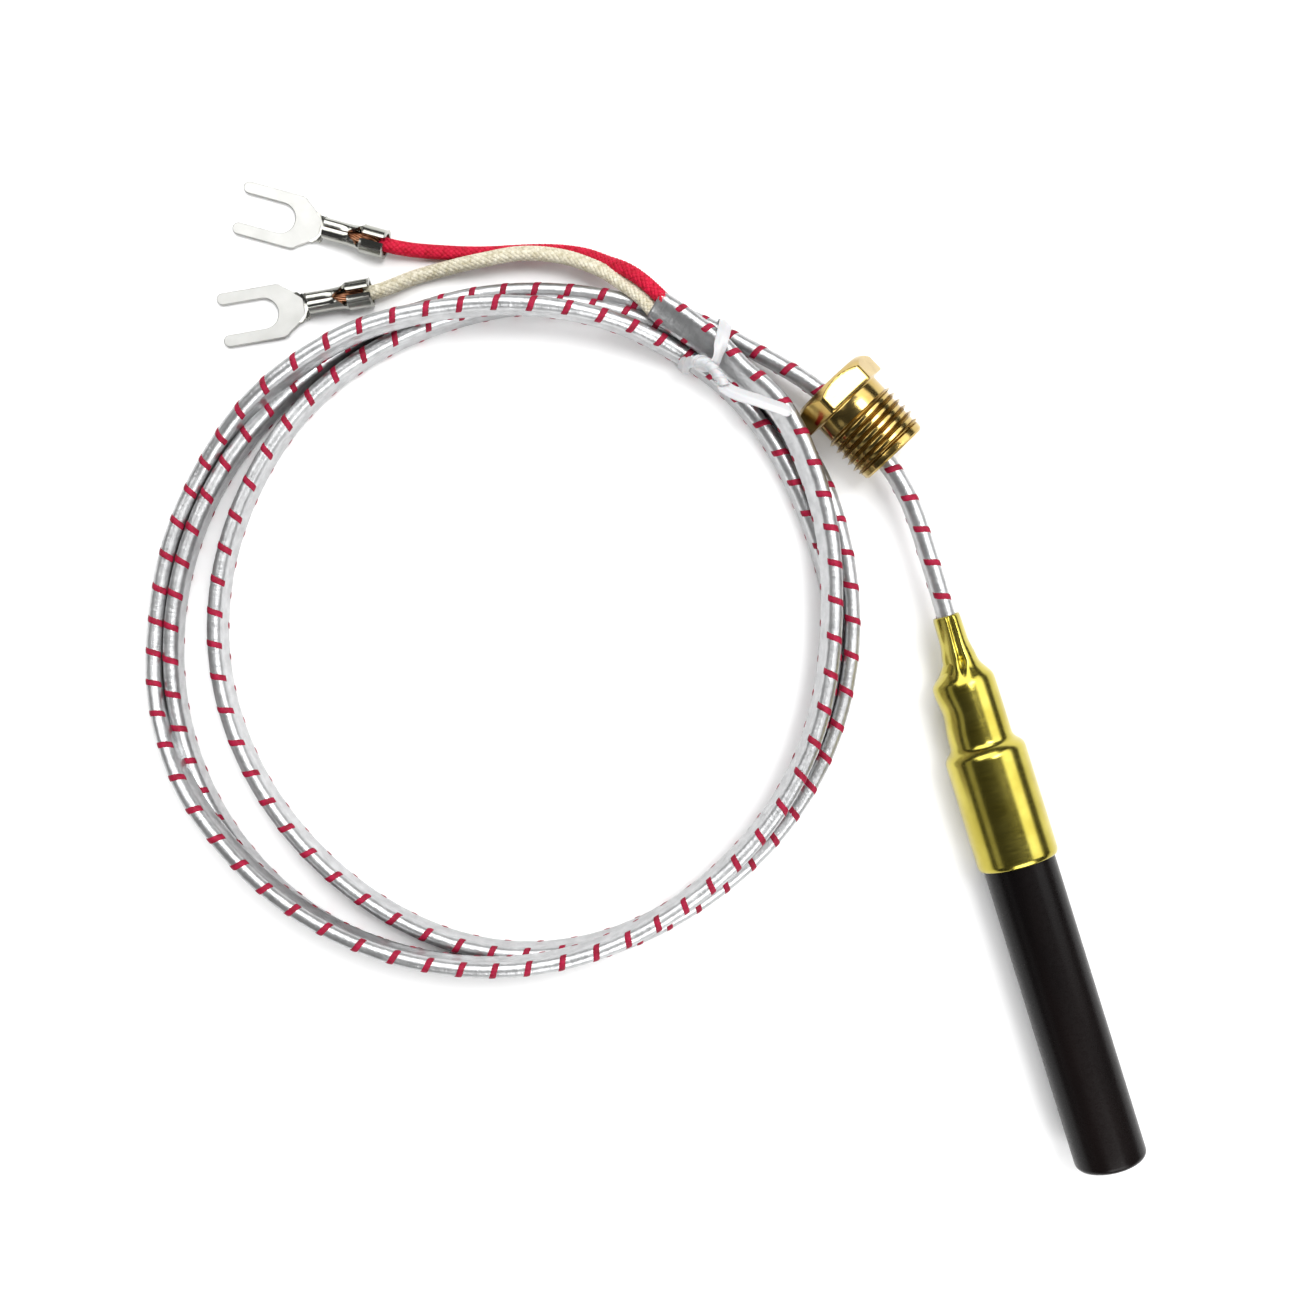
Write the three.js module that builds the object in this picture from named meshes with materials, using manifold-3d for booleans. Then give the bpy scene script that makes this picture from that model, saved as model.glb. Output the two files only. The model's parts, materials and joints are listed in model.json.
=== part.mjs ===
// A 750 mV thermopile generator for a gas pilot burner: steel probe, stepped brass ferrule, foil-wrapped
// two-wire lead laid in a coil, two fork terminals, and a threaded adapter that is loose on the lead.
// Millimetres, +Z up. Everything lies on the plane z = 0. The probe lies along Y, its closed tip towards -Y.
import * as THREE from 'three';
import { mergeVertices } from 'three/addons/utils/BufferGeometryUtils.js';
import Module from 'manifold-3d';

const wasm = await Module();
wasm.setup();

// ---- Driving dimensions ----
const GAP = 0.3;                 // clearance between pieces that touch on the real object

const TUBE_R = 5.55;             // probe tube, 7/16 in
const TUBE_WALL = 0.4;
const TIP_Y = -65.6;             // closed end of the probe
const TUBE_END_Y = 0.4;          // open end of the tube, against the ferrule's shoulder

const FERRULE_R = 6.3;           // large section
const FERRULE_SMALL_R = 4.9;     // small section, which the adapter slides over
const FERRULE_Y = -16.9;         // edge of the large section, on the tube
const SHOULDER_Y = 1.4;
const NECK_Y = 22.6;             // mouth of the crimped neck
const NECK_SHIFT = 0.5;          // the crimp pushes the neck sideways
const PROBE_X = 2.9;
const PROBE_Z = FERRULE_R;       // the ferrule lies on the surface

const COUPLES = 25;
const LEG_D = 0.4;
const OUTER_LEG_R = 4.1;
const INNER_LEG_R = 2.85;
const HOT_Y = -61.8;             // where the hot ends start to bend
const COLD_Y = -4;

const THREAD_R = 6.35;           // 1/2-20 UNF
const THREAD_PITCH = 1.27;
const THREAD_DEPTH = 0.75;
const GROOVE_R = 5.7;
const BORE_R = 5;
const HEX_ACROSS_FLATS = 13.2;
const HEX_LENGTH = 4;
const GROOVE_LENGTH = 2.4;
const ADAPTER_LENGTH = 14.9;
const ADAPTER_PLACE = [-0.1, 55.5, HEX_ACROSS_FLATS / 2];
const ADAPTER_TURN = -153.83;    // degrees about Z, from the adapter's own +Y

const LEAD_WIDE = 5.3;           // the lead is two wires side by side in one wrap
const LEAD_THIN = 2.65;
const COIL_PLACE = [-62.9, 40.9];
const COIL_INNER_R = 43;
const COIL_OUTER_R = 54.6;
const COIL_HEIGHT = 5.6;
const WIRE_D = 2.35;
const CONDUCTOR_D = 1.4;
const TIE_D = 1.2;

// Fork terminal, along its own +X from the insulation crimp's outer end to the prong tips.
const FORK_THICKNESS = 0.8;
const FORK_WIDTH = 8.6;
const SLOT_WIDTH = 4.8;
const SLOT_BOTTOM_X = 15.3;
const FORK_TIP_X = 24.6;
const FORK_NECK_WIDTH = 3.8;
const SHOULDER_X = 14.2;
const BARREL = { from: 5.9, to: 10.1, outer: 1.65, inner: 1.05 };
const GRIP = { to: 3.8, outer: 2.1, inner: 1.5, opening: 1.6 };
const WIRE_Z = GRIP.outer;       // height of the wire's axis in its terminal

// ---- Routes of the lead and wires, chosen by hand ----
const LEAD_FERRULE_ROUTE = [
  [3.4, 14.9, 6.3], [3.4, 19, 6.3], [3.4, 22.7, 6.3], [3.5, 28, 6.3], [3.5, 33.2, 6.3],
  [3.2, 41.4, 6.3], [1.9, 47.5, 6.3], [-1, 55, 6.3], [-4.4, 61.9, 6.2], [-8.3, 67.2, 5.2],
  [-11.4, 70.8, 4.1], [-14.5, 74.3, 3.2], [-18.9, 78.5, 2.75], [-22.9, 81.4, 2.7],
];
const LEAD_TERMINAL_ROUTE = [
  [-13.6, 64.5, 7.3], [-15.9, 67.8, 7.3], [-17.9, 71.8, 7.3], [-20, 75.4, 7.3],
  [-22.6, 79.4, 7.3], [-25.4, 83, 7.3],
];
const RED_ROUTE = [
  [-24.6, 84.1, 7.2], [-26, 86.6, 6.4], [-27.8, 89.7, 4.8], [-29.9, 92.1, 3.3], [-32.2, 94.1, 2.1],
  [-34.8, 95.6, 1.4], [-37.4, 96.6, 1.2], [-42.5, 98.1, 1.2], [-48.7, 99.5, 1.2], [-54.8, 101.1, 1.2],
  [-59, 102.5, 1.5], [-62.5, 104.2, 2.1], [-65.4, 106.1, 2.1],
];
const CREAM_ROUTE = [
  [-26.6, 82.5, 7.2], [-27.6, 84.6, 6.8], [-29.2, 87.2, 5.7], [-31, 89.5, 4.8], [-33, 91.4, 4.1],
  [-35.3, 93.2, 3.8], [-38, 94.7, 3.75], [-40.9, 95.8, 3.7], [-44.4, 96.7, 3.6], [-47.5, 97.2, 3.3],
  [-51.5, 98.1, 2.5], [-55.6, 98.7, 1.6], [-60.6, 98.6, 1.4], [-64, 98, 1.9], [-66.9, 97.8, 2.1],
  [-70.4, 98.2, 2.1],
];
const TIE_ROUTE = [
  [-15, 78.1, 0.9], [-14.9, 77.6, 4], [-15.2, 76.6, 7.6], [-16.2, 75, 9.4], [-18, 72.4, 9.6],
  [-19.6, 70.4, 9.4], [-21.5, 69, 8], [-21.5, 67.8, 6.7], [-19.9, 66.2, 6.6], [-17.9, 64, 6.6],
  [-16, 62.2, 6.6], [-13.5, 60.6, 6.6], [-11.2, 59.4, 6.6],
];
const RED_TERMINAL = { place: [-62.5, 104.2], turn: 147.4 };
const CREAM_TERMINAL = { place: [-66.9, 97.8], turn: 172.7 };

// ---- Materials ----
const finish = (color, roughness, metalness) =>
  new THREE.MeshStandardMaterial({ color, roughness, metalness });
const blackSteel = () => finish(0x1b1a1d, 0.45, 0.7);
const greenBrass = () => finish(0xc2a83a, 0.2, 1);
const warmBrass = () => finish(0xc79a48, 0.28, 1);
const tin = () => finish(0xd6d6d0, 0.3, 1);
const copper = () => finish(0xb87352, 0.35, 1);
const foil = () => finish(0xc4c6c9, 0.3, 0.9);
const redBraid = () => finish(0xc8203f, 0.8, 0);
const creamBraid = () => finish(0xe6dcc0, 0.85, 0);
const ceramic = () => finish(0xece8dc, 0.7, 0);
const mica = () => finish(0xb9ad8c, 0.5, 0);
const chromelAlloy = () => finish(0x9a968e, 0.4, 1);
const tiePaper = () => finish(0xf2f2f0, 0.6, 0);

// ---- Geometry helpers ----
// Merges vertices by position, drops collapsed triangles, and turns an inside-out body the right way.
function weld(geometry) {
  const bare = geometry.clone();
  bare.deleteAttribute('normal');
  bare.deleteAttribute('uv');
  const merged = mergeVertices(bare, 1e-4);
  const index = merged.index.array;
  const corner = (i) => new THREE.Vector3().fromBufferAttribute(merged.attributes.position, index[i]);
  const kept = [];
  let volume = 0;
  for (let i = 0; i < index.length; i += 3) {
    const [a, b, c] = [index[i], index[i + 1], index[i + 2]];
    if (a === b || b === c || c === a) continue;
    kept.push(a, b, c);
    volume += corner(i).dot(corner(i + 1).cross(corner(i + 2)));
  }
  if (volume < 0) kept.reverse();
  merged.setIndex(kept);
  return merged;
}

function toManifold(geometry) {
  const { attributes, index } = weld(geometry);
  const vertProperties = new Float32Array(attributes.position.array);
  return new wasm.Manifold(new wasm.Mesh({
    numProp: 3, vertProperties, triVerts: new Uint32Array(index.array),
  }));
}

function fromManifold(manifold) {
  const { vertProperties, triVerts } = manifold.getMesh();
  const geometry = new THREE.BufferGeometry();
  geometry.setAttribute('position', new THREE.BufferAttribute(new Float32Array(vertProperties), 3));
  geometry.setIndex(new THREE.BufferAttribute(new Uint32Array(triVerts), 1));
  return geometry;
}

const points2 = (pairs) => pairs.map(([x, y]) => new THREE.Vector2(x, y));
const points3 = (triples) => triples.map((triple) => new THREE.Vector3(...triple));

// Revolves a profile of [radius, y] pairs about Y.
const turned = (profile, segments = 32) => weld(new THREE.LatheGeometry(points2(profile), segments));

// A plain round or hollow rod about Y. An inner radius of 0 makes it solid.
function rod(outer, inner, from, to, segments = 24) {
  return turned([[inner, from], [outer, from], [outer, to], [inner, to], [inner, from]], segments);
}

// A path that passes through its points with straight stretches between them.
class KnotPath extends THREE.Curve {
  constructor(knots) {
    super();
    this.knots = knots;
  }

  getPoint(t) {
    const along = t * (this.knots.length - 1);
    const first = Math.min(Math.floor(along), this.knots.length - 2);
    return this.knots[first].clone().lerp(this.knots[first + 1], along - first);
  }

  getPointAt(u) {
    return this.getPoint(u);
  }

  getTangentAt(u) {
    const at = Math.round(u * (this.knots.length - 1));
    const before = this.knots[Math.max(at - 1, 0)];
    const after = this.knots[Math.min(at + 1, this.knots.length - 1)];
    return after.clone().sub(before).normalize();
  }
}

// A tube of an oval section, upright height by side-to-side width on a level path.
function tube(path, steps, height, width = height, sides = 8) {
  const section = new THREE.Shape();
  for (let i = 0; i < sides; i += 1) {
    const angle = ((i + 0.5) / sides) * 2 * Math.PI;
    const [x, y] = [(height / 2) * Math.cos(angle), (width / 2) * Math.sin(angle)];
    if (i === 0) section.moveTo(x, y);
    else section.lineTo(x, y);
  }
  section.closePath();
  return weld(new THREE.ExtrudeGeometry(section, { steps, extrudePath: path, bevelEnabled: false }));
}

const cord = (route, steps, height, width) =>
  tube(new THREE.CatmullRomCurve3(points3(route)), steps, height, width);

function add(group, name, geometry, material) {
  const mesh = new THREE.Mesh(geometry, material);
  mesh.name = name;
  group.add(mesh);
  return mesh;
}

// ---- Probe ----
function sheathTube() {
  const inner = TUBE_R - TUBE_WALL;
  return turned([
    [0, TIP_Y], [3.6, TIP_Y + 0.1], [4.7, TIP_Y + 0.35], [5.3, TIP_Y + 0.8], [TUBE_R, TIP_Y + 1.4],
    [TUBE_R, TUBE_END_Y], [inner, TUBE_END_Y], [inner, TIP_Y + 0.8], [0, TIP_Y + 0.8],
  ]);
}

// The ferrule is turned round, then its neck is squeezed: each station is [y, radius, side ratio].
function brassFerrule() {
  const outer = [
    [FERRULE_Y, FERRULE_R - 0.4, 1], [FERRULE_Y + 0.4, FERRULE_R, 1], [SHOULDER_Y - 0.9, FERRULE_R, 1],
    [SHOULDER_Y - 0.2, FERRULE_R - 0.3, 1], [SHOULDER_Y + 0.3, FERRULE_R - 0.9, 1],
    [SHOULDER_Y + 1.1, FERRULE_SMALL_R, 1], [11.4, FERRULE_SMALL_R, 1], [12.6, 4.75, 1],
    [13.6, 4.45, 0.92], [14.4, 4.1, 0.83], [15.8, 3.75, 0.72], [18.1, 3.5, 0.66], [22, 3.4, 0.62],
    [NECK_Y, 3.2, 0.6],
  ];
  const inner = [
    [NECK_Y, 2.95, 0.55], [18, 2.95, 0.56], [15.8, 3.1, 0.62], [14.4, 3.6, 0.8], [12.5, 4.3, 1],
    [SHOULDER_Y - 0.5, 4.3, 1], [SHOULDER_Y - 0.5, TUBE_R + GAP, 1], [FERRULE_Y, TUBE_R + GAP, 1],
  ];
  const stations = [...outer, ...inner, outer[0]];
  const geometry = new THREE.LatheGeometry(points2(stations.map(([y, r]) => [r, y])), 32);
  const position = geometry.attributes.position;
  for (let i = 0; i < position.count; i += 1) {
    const [y, , ratio] = stations[i % stations.length];
    const shift = NECK_SHIFT * THREE.MathUtils.smoothstep(y, 12.6, 15.8);
    position.setX(i, position.getX(i) * ratio + shift);
  }
  return weld(geometry);
}

const aroundProbe = (radius, angle, y) =>
  new THREE.Vector3(radius * Math.sin(angle), y, radius * Math.cos(angle));

// One thermocouple: an inner and an outer leg joined by a bend at the hot end. The cold end of the outer
// leg turns over to the next couple's inner leg. The last couple ends at the lead's tail instead.
function couple(index) {
  const pitch = (2 * Math.PI) / COUPLES;
  const angle = index * pitch;
  const bend = (OUTER_LEG_R - INNER_LEG_R) / 2;
  const middle = INNER_LEG_R + bend;
  const knots = [aroundProbe(INNER_LEG_R, angle, COLD_Y)];
  for (let turn = 0; turn <= 180; turn += 45) {
    const across = THREE.MathUtils.degToRad(turn);
    knots.push(aroundProbe(middle - bend * Math.cos(across), angle, HOT_Y - bend * Math.sin(across)));
  }
  knots.push(aroundProbe(OUTER_LEG_R, angle, COLD_Y));
  if (index < COUPLES - 1) {
    knots.push(aroundProbe(OUTER_LEG_R - 0.4, angle + 0.25 * pitch, COLD_Y + 0.7));
    knots.push(aroundProbe(INNER_LEG_R + 0.3, angle + 0.75 * pitch, COLD_Y + 0.9));
    knots.push(aroundProbe(INNER_LEG_R, angle + pitch, COLD_Y + 0.55));
  }
  return tube(new KnotPath(knots), knots.length - 1, LEG_D, LEG_D, 6);
}

function coldEndDisc() {
  const disc = new THREE.Shape().absarc(0, 0, 4, 0, 2 * Math.PI);
  for (const side of [-1, 1]) disc.holes.push(new THREE.Path().absarc(0, side * 1.4, 0.75, 0, 2 * Math.PI));
  const geometry = new THREE.ExtrudeGeometry(disc, { depth: 1.6, curveSegments: 12, bevelEnabled: false });
  return weld(geometry.rotateX(-Math.PI / 2).translate(0, 5.4, 0));
}

// A wire from one end of the pile through the disc to the lead. side is +1 above and -1 below.
function pileTail(radius, angle, via, side) {
  const route = [aroundProbe(radius, angle, COLD_Y + 1.6), ...points3(via),
    new THREE.Vector3(0, 5, side * 1.4), new THREE.Vector3(0, 7.4, side * 1.4),
    new THREE.Vector3(0.2, 11, side * 1.35), new THREE.Vector3(0.5, 14.3, side * 1.3)];
  return tube(new THREE.CatmullRomCurve3(route), 14, 0.8);
}

function probe() {
  const group = new THREE.Group();
  group.position.set(PROBE_X, 0, PROBE_Z);
  add(group, 'sheath_tube', sheathTube(), blackSteel());
  add(group, 'brass_ferrule', brassFerrule(), greenBrass());
  add(group, 'tip_insulator', rod(4.6, 0, TIP_Y + 1.1, TIP_Y + 2.1), ceramic());
  add(group, 'core_rod', rod(2.3, 0, HOT_Y - 1, COLD_Y + 0.6), ceramic());
  add(group, 'separator_sleeve', rod(3.62, 3.34, HOT_Y + 0.2, COLD_Y - 0.1), mica());
  add(group, 'liner_sleeve', rod(4.85, 4.6, HOT_Y - 1.4, COLD_Y + 1.2), mica());
  for (let i = 0; i < COUPLES; i += 1) {
    add(group, `couple_${String(i + 1).padStart(2, '0')}`, couple(i), chromelAlloy());
  }
  add(group, 'cold_end_disc', coldEndDisc(), ceramic());
  const lastAngle = -(2 * Math.PI) / COUPLES;
  add(group, 'positive_tail', pileTail(INNER_LEG_R, 0, [[0, 1, 2.2]], 1), copper());
  add(group, 'negative_tail',
    pileTail(OUTER_LEG_R, lastAngle, [[-2.2, -0.8, 2.2], [-2.6, 1.2, -0.2]], -1), copper());
  return group;
}

// ---- Threaded adapter, along its own +Y from the hexagon's outer face to the thread's end ----
function threadedAdapter() {
  const outerFace = -ADAPTER_LENGTH / 2;
  const seat = outerFace + HEX_LENGTH;
  const threadStart = seat + GROOVE_LENGTH;
  const end = ADAPTER_LENGTH / 2;
  const cornerR = HEX_ACROSS_FLATS / Math.sqrt(3);

  const prism = new THREE.CylinderGeometry(cornerR, cornerR, HEX_LENGTH, 6, 1, false, Math.PI / 6)
    .translate(0, outerFace + HEX_LENGTH / 2, 0);
  const dome = turned([
    [0, outerFace], [5.9, outerFace], [6.9, outerFace + 0.4], [7.5, outerFace + 1], [8, outerFace + 1.7],
    [8, seat], [0, seat],
  ], 36);

  const shank = [[0, seat - 1], [GROOVE_R, seat - 1], [GROOVE_R, threadStart - 0.5]];
  const turns = Math.floor((end - 1.4 - threadStart) / THREAD_PITCH);
  for (let i = 0; i < turns; i += 1) {
    const crest = threadStart + (i + 0.5) * THREAD_PITCH;
    shank.push([THREAD_R - THREAD_DEPTH, crest - THREAD_PITCH / 2 + 0.08]);
    shank.push([THREAD_R, crest - 0.08], [THREAD_R, crest + 0.08]);
    shank.push([THREAD_R - THREAD_DEPTH, crest + THREAD_PITCH / 2 - 0.08]);
  }
  shank.push([6.1, end - 1.3], [5.75, end], [0, end]);

  const bore = turned([[0, outerFace - 1], [BORE_R, outerFace - 1], [BORE_R, end + 1], [0, end + 1]], 32);
  return fromManifold(
    toManifold(prism).intersect(toManifold(dome)).add(toManifold(turned(shank, 36))).subtract(toManifold(bore)),
  );
}

// ---- Coil, lead and wires ----
function leadCoil() {
  const edge = 0.9;
  return turned([
    [COIL_INNER_R + edge, 0], [COIL_OUTER_R - edge, 0], [COIL_OUTER_R, edge],
    [COIL_OUTER_R, COIL_HEIGHT - edge], [COIL_OUTER_R - edge, COIL_HEIGHT],
    [COIL_INNER_R + edge, COIL_HEIGHT], [COIL_INNER_R, COIL_HEIGHT - edge], [COIL_INNER_R, edge],
    [COIL_INNER_R + edge, 0],
  ], 64);
}

// ---- Fork terminal ----
function forkPlate() {
  const half = FORK_WIDTH / 2;
  const slot = SLOT_WIDTH / 2;
  const tip = (half - slot) / 2;
  const neck = FORK_NECK_WIDTH / 2;
  const outline = new THREE.Shape();
  outline.moveTo(BARREL.to - 0.6, -neck);
  outline.lineTo(BARREL.to + 1.2, -neck);
  outline.lineTo(SHOULDER_X, -half + 0.5);
  outline.lineTo(SHOULDER_X + 0.8, -half);
  outline.absarc(FORK_TIP_X - tip, -half + tip, tip, -Math.PI / 2, Math.PI / 2);
  outline.absarc(SLOT_BOTTOM_X + slot, 0, slot, -Math.PI / 2, -1.5 * Math.PI, true);
  outline.absarc(FORK_TIP_X - tip, half - tip, tip, -Math.PI / 2, Math.PI / 2);
  outline.lineTo(SHOULDER_X + 0.8, half);
  outline.lineTo(SHOULDER_X, half - 0.5);
  outline.lineTo(BARREL.to + 1.2, neck);
  outline.lineTo(BARREL.to - 0.6, neck);
  outline.closePath();
  return new THREE.ExtrudeGeometry(outline, { depth: FORK_THICKNESS, curveSegments: 8, bevelEnabled: false });
}

function strap() {
  const [from, to] = [GRIP.to - 1, BARREL.to];
  return new THREE.BoxGeometry(to - from, 1.8, FORK_THICKNESS)
    .translate((from + to) / 2, 0, FORK_THICKNESS / 2);
}

// A channel that wraps the insulation, open along its top.
function insulationGrip() {
  const open = Math.asin(GRIP.opening / 2 / GRIP.outer);
  const section = new THREE.Shape();
  section.absarc(0, 0, GRIP.outer, Math.PI / 2 + open, 2.5 * Math.PI - open);
  section.absarc(0, 0, GRIP.inner, Math.PI / 2 - open, -1.5 * Math.PI + open, true);
  section.closePath();
  return new THREE.ExtrudeGeometry(section, { depth: GRIP.to, curveSegments: 10, bevelEnabled: false })
    .rotateX(Math.PI / 2).rotateZ(Math.PI / 2).translate(0, 0, GRIP.outer);
}

function alongX(geometry) {
  return geometry.rotateZ(-Math.PI / 2).translate(0, 0, WIRE_Z);
}

function forkTerminal() {
  const barrel = alongX(rod(BARREL.outer, 0, BARREL.from, BARREL.to, 20));
  const hole = alongX(rod(BARREL.inner, 0, BARREL.from - 1, BARREL.to + 1, 20));
  return fromManifold(
    toManifold(forkPlate()).add(toManifold(strap())).add(toManifold(barrel)).subtract(toManifold(hole))
      .add(toManifold(insulationGrip())),
  );
}

function addTerminal(group, colour, { place, turn }) {
  const terminal = new THREE.Group();
  terminal.position.set(...place, 0);
  terminal.rotation.z = THREE.MathUtils.degToRad(turn);
  add(terminal, `${colour}_fork_terminal`, forkTerminal(), tin());
  add(terminal, `${colour}_conductor`,
    alongX(rod(CONDUCTOR_D / 2, 0, GRIP.to, BARREL.to - 0.2, 10)), copper());
  group.add(terminal);
}

// ---- Assembly ----
const thermopile = new THREE.Group();
thermopile.add(probe());

const adapter = add(thermopile, 'threaded_adapter', threadedAdapter(), warmBrass());
adapter.position.set(...ADAPTER_PLACE);
adapter.rotation.z = THREE.MathUtils.degToRad(ADAPTER_TURN);

add(thermopile, 'lead_ferrule_end', cord(LEAD_FERRULE_ROUTE, 20, LEAD_WIDE, LEAD_THIN), foil());
const coil = add(thermopile, 'lead_coil', leadCoil().rotateX(Math.PI / 2), foil());
coil.position.set(...COIL_PLACE, 0);
add(thermopile, 'lead_terminal_end', cord(LEAD_TERMINAL_ROUTE, 6, LEAD_THIN, LEAD_WIDE), foil());
add(thermopile, 'red_wire', cord(RED_ROUTE, 14, WIRE_D), redBraid());
add(thermopile, 'cream_wire', cord(CREAM_ROUTE, 15, WIRE_D), creamBraid());
add(thermopile, 'twist_tie', cord(TIE_ROUTE, 22, TIE_D), tiePaper());
addTerminal(thermopile, 'red', RED_TERMINAL);
addTerminal(thermopile, 'cream', CREAM_TERMINAL);

export default thermopile;
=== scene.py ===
"""Visual model of a thermopile generator: a closed probe, a brass ferrule, a foil-wrapped two-wire lead
laid in a coil, two fork terminals, a twist tie and a threaded adapter that is loose on the lead.
Everything is in metres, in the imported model's frame, and lies on the plane z = 0."""

import json
import math

import bpy
import numpy as np
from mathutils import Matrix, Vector, noise


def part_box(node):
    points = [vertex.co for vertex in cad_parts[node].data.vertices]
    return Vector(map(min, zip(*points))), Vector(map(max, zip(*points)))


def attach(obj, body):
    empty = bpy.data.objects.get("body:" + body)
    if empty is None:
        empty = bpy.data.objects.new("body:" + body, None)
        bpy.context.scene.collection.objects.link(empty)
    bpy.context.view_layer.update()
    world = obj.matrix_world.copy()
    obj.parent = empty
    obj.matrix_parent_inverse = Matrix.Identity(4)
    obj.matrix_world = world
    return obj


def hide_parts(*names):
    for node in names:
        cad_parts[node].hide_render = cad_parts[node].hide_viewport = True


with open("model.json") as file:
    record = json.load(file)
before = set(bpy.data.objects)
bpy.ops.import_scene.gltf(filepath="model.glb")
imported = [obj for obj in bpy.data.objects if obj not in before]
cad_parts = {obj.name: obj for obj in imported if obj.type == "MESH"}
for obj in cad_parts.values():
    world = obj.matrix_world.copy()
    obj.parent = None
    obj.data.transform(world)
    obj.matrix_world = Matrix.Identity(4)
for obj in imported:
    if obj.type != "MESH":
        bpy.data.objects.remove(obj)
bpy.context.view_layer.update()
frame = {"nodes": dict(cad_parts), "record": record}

TAU = 2 * math.pi
MM = 0.001

ROOT = "probe_and_lead"
ADAPTER = "adapter"

# ---- Lead: two wires side by side in a foil wrap, with a tracer thread wound on it ----
LEAD_WIDE = 0.0050
LEAD_THIN = 0.0024
LEAD_STEP = 0.0006               # spacing of the rings along it
LEAD_SIDES = 28
FLAT_DENT = 0.00012              # hollow of the foil between the two wires
CREASE = 0.00003                 # height of the foil's creases and of its overlapping edge
TRACER_PITCH = 0.0053
TRACER_WIDE = 0.0011
TRACER_THICK = 0.0001
TRACER_SUNK = 0.0002             # how far the thread lies under the foil on the two flats
TRACER_FLAT_WIDE = 0.14          # part of its width that it keeps there
TRACER_SLANT = 0.55              # 0 winds evenly; more slants on the flats, straight round the edges
TRACER_STEPS = 40                # rings in one turn of the thread
TRACER_START = 0.12              # fraction of the perimeter from the top, where the thread starts
WIRE_D = 0.00235

# The stretch from inside the ferrule's neck, through the adapter, to the coil.
LEAD_FERRULE_ROUTE = [
    (0.0034, 0.0149, 0.0063), (0.0034, 0.0190, 0.0063), (0.0034, 0.0227, 0.0063),
    (0.0035, 0.0280, 0.0063), (0.0035, 0.0332, 0.0063), (0.0032, 0.0414, 0.0063),
    (0.0018, 0.0475, 0.0063), (-0.0013, 0.0546, 0.0063), (-0.0049, 0.0614, 0.0062),
    (-0.0089, 0.0667, 0.0052), (-0.0120, 0.0703, 0.0041), (-0.0151, 0.0738, 0.0032),
    (-0.0194, 0.0780, 0.0028),
]
LEAD_FERRULE_LEANS = [0] * 8 + [-3, -5, -6, -6, -4]
# The stretch that leans over on top of the coil, under the tie, to where the two wires come out.
LEAD_TERMINAL_ROUTE = [
    (-0.0136, 0.0645, 0.0077), (-0.0159, 0.0678, 0.0076), (-0.0179, 0.0718, 0.0075),
    (-0.0202, 0.0752, 0.0073), (-0.0230, 0.0789, 0.0071), (-0.0253, 0.0817, 0.0070),
]
LEAD_TERMINAL_LEANS = [33, 40, 48, 58, 67, 70]
# The two insulated wires, from the end of the foil to their terminals.
RED_ROUTE = [
    (-0.0238, 0.0817, 0.0076), (-0.0257, 0.0852, 0.0073), (-0.0281, 0.0886, 0.0058),
    (-0.0303, 0.0909, 0.0036), (-0.0325, 0.0930, 0.0021), (-0.0351, 0.0946, 0.0014),
    (-0.0377, 0.0957, 0.0012), (-0.0428, 0.0972, 0.0012), (-0.0489, 0.0988, 0.0012),
    (-0.0549, 0.1009, 0.0012), (-0.0590, 0.1025, 0.0015), (-0.0616, 0.1037, 0.0020),
    (-0.0634, 0.1048, 0.0021),
]
CREAM_ROUTE = [
    (-0.0256, 0.0802, 0.0066), (-0.0271, 0.0838, 0.0061), (-0.0292, 0.0869, 0.0051),
    (-0.0310, 0.0893, 0.0045), (-0.0330, 0.0912, 0.0041), (-0.0353, 0.0930, 0.0038),
    (-0.0380, 0.0945, 0.00375), (-0.0409, 0.0957, 0.0037), (-0.0444, 0.0966, 0.0036),
    (-0.0475, 0.0970, 0.0034), (-0.0516, 0.0976, 0.0026), (-0.0557, 0.0981, 0.0016),
    (-0.0606, 0.0982, 0.0014), (-0.0640, 0.0978, 0.0019), (-0.0662, 0.0977, 0.0021),
    (-0.0681, 0.0979, 0.0021),
]

# ---- Coil ----
COIL_STEP = 4.0                  # degrees between the points that the lead is drawn through
COIL_REST = 2.58                 # least height in millimetres of the lead's middle, on the surface
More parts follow.
